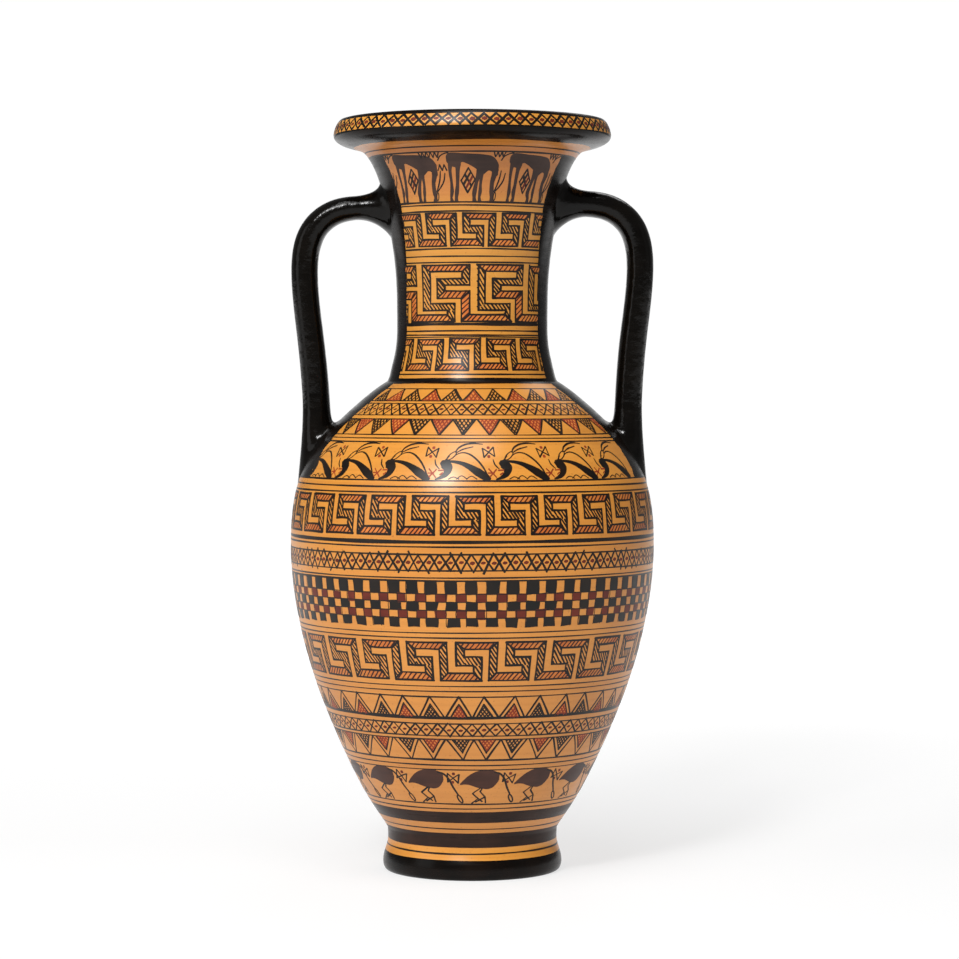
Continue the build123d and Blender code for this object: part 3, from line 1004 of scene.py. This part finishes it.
def build_figures():
    bodies, lines, reds = films("deer", bodies=BROWN, lines=LINE_BLACK, red=RED)
    for centre in (FRONT, BACK):
        for k in (-1, 0, 1, 2):
            to_pot = placed(centre - 14.4 + 36.5 * k, 353.9, 46.5)
            antlers(lines, to_pot, k == 0)
            if k < 2:
                deer(bodies, lines, reds, to_pot)
    finish_all(bodies, lines, reds)
    bodies, reds = films("goat", bodies=LINE_BLACK, red=SCARLET)
    for centre in (FRONT, BACK):
        for k in range(-3, 4):
            goat(bodies, reds, placed(centre - 9.4 + 19.5 * k, 210.4, 84.0), k > -3)
    finish_all(bodies, reds)
    bodies, lines, reds = films("bird", bodies=BIRD, lines=LINE_BLACK, red=RED)
    for k in range(BIRDS):
        bird(bodies, lines, reds, placed(FRONT - 5.9 + 360 / BIRDS * k, 41.9, 65.0))
    finish_all(bodies, lines, reds)


# ---------------- handles
ARM_HEIGHT = {"left": 353.2, "right": 355.3}
ARM_THICK = {"left": 11.8, "right": 13.6}
HANDLE_THICK, HALF_WIDTH = 14.4, 10.0
LOWER_ROOT_HEIGHT = 225.0
UPPER_COLLAR, LOWER_COLLAR = 22.0, 46.0
SKIN_COLUMNS = 56
COLLAR_ROWS, SHANK_ROWS = 22, 120


def bezier(a, b, c, d):
    """The collar's rows of points, from row a towards row b and, coming from row c, to row d."""
    t = np.linspace(0, 1, COLLAR_ROWS)[:, None, None]
    return a * (1 - t) ** 3 + 3 * b * t * (1 - t) ** 2 + 3 * c * t**2 * (1 - t) + d * t**3


def build_handle(side):
    """A pulled handle with its two pressed collars: one skin, divided into its three pieces."""
    sign = -1 if side == "left" else 1
    arm, arm_thick = ARM_HEIGHT[side], ARM_THICK[side]
    route = spline(
        [(40.8, arm), (57.3, arm + 0.2), (74.2, arm - 2.6), (84.4, arm - 11), (88.8, arm - 22),
         (89.8, arm - 36), (86.3, arm - 71), (83.2, 239.5), (82.7, 207.5)],
        (1, 0), (0, -1), 60,
    )
    length = np.concatenate([[0], np.cumsum(np.linalg.norm(np.diff(route, axis=0), axis=1))])
    around = np.linspace(0, 2 * math.pi, SKIN_COLUMNS, endpoint=False)
    cos, sin = np.cos(around), np.sin(around)
    lumps = rng.uniform(0, 6.3, 12)

    def centre_at(s):
        return np.array([np.interp(s, length, route[:, k]) for k in range(2)])

    def section(s):
        """The points round the handle at a distance s along its route, and the route's direction there."""
        x, z = centre_at(s)
        along = centre_at(s + 0.5) - centre_at(s - 0.5)
        dx, dz = along / math.hypot(*along)
        grown = min(s / (0.3 * length[-1]), 1)
        half = (arm_thick + (HANDLE_THICK - arm_thick) * grown) / 2
        lump = 0
        for k in range(5):
            lump += np.sin(s / (9 + 4 * k) + lumps[k]) * np.sin((k % 3 + 1) * around + lumps[k + 6])
        swell = (1 + 0.009 * lump) * (1 + 0.05 * np.sin(2 * around) ** 2)
        across, deep = half * cos * swell, HALF_WIDTH * sin * swell
        return np.stack([x - dz * across, deep, z + dx * across], -1), np.array([dx, 0, dz])

    def on_pot(y, z):
        angle = np.degrees(np.arcsin(np.clip(y / profile_at(z)[0], -1, 1)))
        return on_surface(angle, z, np.full(len(z), -0.25))[0] / MM

    def root(middle, rise, flare, pull):
        """A collar's edge on the pot, and the places just off the pot that its skin is pulled towards."""
        edge = on_pot((HALF_WIDTH + flare) * sin, middle + rise)
        pulled = on_pot((HALF_WIDTH + 1.5) * sin, middle + rise * 0.72)
        return edge, pulled + (pull, 0, 0)

    start, stop = UPPER_COLLAR, length[-1] - LOWER_COLLAR
    first, along_first = section(start)
    last, along_last = section(stop)
    upper_rise = 0.3 + (arm_thick / 2 + np.where(cos > 0, 7.5, 11.5)) * cos
    lower_rise = -np.where(cos > 0, 21.0, 16.5) * cos
    upper, upper_pulled = root(arm, upper_rise, 6.0, 1.3)
    lower, lower_pulled = root(LOWER_ROOT_HEIGHT, lower_rise, 4.5, 1.6)
    collar = bezier(upper, upper_pulled, first - along_first * (start - 13.0), first)
    skirt = bezier(last, last + along_last * 18.0, lower_pulled, lower)
    shank = np.array([section(s)[0] for s in np.linspace(start, stop, SHANK_ROWS)])
    rows = np.concatenate([collar[:-1], shank, skirt[1:]]) * (sign, 1, 1)
    normal = np.cross(np.roll(rows, -1, 1) - np.roll(rows, 1, 1), np.gradient(rows, axis=0)) * sign
    normal /= np.linalg.norm(normal, axis=-1, keepdims=True)
    cuts = (0, len(collar) - 1, len(collar) + len(shank) - 2, len(rows) - 1)
    here = np.arange(SKIN_COLUMNS)
    after = np.roll(here, -1)
    for node, low, high in zip(("upper_lute", "handle", "lower_lute"), cuts, cuts[1:]):
        part = rows[low : high + 1]
        count = len(part)
        total = count * SKIN_COLUMNS
        points = np.vstack([part.reshape(-1, 3), part[0].mean(0), part[-1].mean(0)]) * MM
        faces = ring_faces(count, SKIN_COLUMNS)
        faces += [[total, b, a] for a, b in zip(here.tolist(), after.tolist())]
        base = total - SKIN_COLUMNS
        faces += [[total + 1, base + a, base + b] for a, b in zip(here.tolist(), after.tolist())]
        if sign < 0:
            faces = [face[::-1] for face in faces]
        name = f"{side}_{node}"
        mesh = add_mesh("pulled_" + name, points, faces, [HANDLE_BLACK], name)
        known = np.vstack([normal[low : high + 1].reshape(-1, 3), [[0, 0, 1]] * 2])
        corner = known[np.concatenate(faces)]
        for polygon in list(mesh.polygons)[(count - 1) * SKIN_COLUMNS :]:
            corner[polygon.loop_start : polygon.loop_start + 3] = polygon.normal
        mesh.normals_split_custom_set(corner.tolist())


# ---------------- stage, light and camera
FLOOR_HALF = 6.0


def softbox(name, place, size, power):
    """A rectangular light aimed at the middle of the pot."""
    data = bpy.data.lights.new(name, "AREA")
    data.shape = "RECTANGLE"
    data.size, data.size_y = size
    data.energy = power
    lamp = bpy.data.objects.new(name, data)
    bpy.context.scene.collection.objects.link(lamp)
    lamp.location = place
    aim = Vector((0, 0, HEIGHT / 2 * MM)) - Vector(place)
    lamp.rotation_euler = aim.to_track_quat("-Z", "Y").to_euler()


def build_stage():
    mesh = bpy.data.meshes.new("floor")
    corners = [(-FLOOR_HALF, -FLOOR_HALF, 0), (FLOOR_HALF, -FLOOR_HALF, 0)]
    corners += [(FLOOR_HALF, FLOOR_HALF, 0), (-FLOOR_HALF, FLOOR_HALF, 0)]
    mesh.from_pydata(corners, [], [(0, 1, 2, 3)])
    paint = bpy.data.materials.new("pale_floor")
    nodes = Nodes(paint, "Object")
    shader = nodes.nodes["Principled BSDF"]
    shader.inputs["Base Color"].default_value = (0.26, 0.26, 0.26, 1)
    shader.inputs["Roughness"].default_value = 0.9
    shader.inputs["Emission Color"].default_value = (1, 1, 1, 1)
    nodes.links.new(nodes.span(nodes.axis("Y"), 0.1, 1.6, 0.70, 0.97), shader.inputs["Emission Strength"])
    mesh.materials.append(paint)
    floor = bpy.data.objects.new("floor", mesh)
    bpy.context.scene.collection.objects.link(floor)

    # White to the camera and behind the pot, and dim where it lights or is mirrored in the front
    world = bpy.data.worlds.new("studio")
    nodes = Nodes(world, "Generated")
    background = nodes.nodes["Background"]
    background.inputs["Color"].default_value = (1, 1, 1, 1)
    behind = nodes.span(nodes.axis("Y"), 0.90, 0.975, 0.16, 1.02)
    seen = nodes.add("LightPath", {}).outputs["Is Camera Ray"]
    strength = nodes.add("Math", {0: seen, 1: behind}, operation="MAXIMUM")
    nodes.links.new(strength.outputs["Value"], background.inputs["Strength"])
    bpy.context.scene.world = world

    softbox("overhead", (-0.1, -0.62, 1.95), (0.8, 0.8), 13)
    softbox("front_key", (-0.56, -1.43, 1.50), (0.48, 0.80), 19)
    softbox("key_core", (-0.53, -1.54, 1.39), (0.26, 0.30), 14)
    softbox("rear_fill", (0.5, 1.5, 1.80), (1.0, 0.8), 6)
    softbox("left_fill", (-2.2, -1.0, 0.9), (1.2, 1.6), 7)
    softbox("right_fill", (2.2, -0.9, 0.8), (1.2, 1.6), 0.5)

    camera = bpy.data.cameras.new("camera")
    camera.lens = 115.3
    camera.sensor_width = 36
    camera.shift_x = 0.0075
    camera.shift_y = -0.0933
    view = bpy.data.objects.new("camera", camera)
    view.location = (0, -1.645, 0.2557)
    view.rotation_euler = (math.pi / 2, 0, 0)
    bpy.context.scene.collection.objects.link(view)
    bpy.context.scene.camera = view
    bpy.context.scene.view_settings.view_transform = "Standard"


build_pot()
build_lines()
build_patterns()
build_figures()
for side in ("left", "right"):
    build_handle(side)
build_stage()
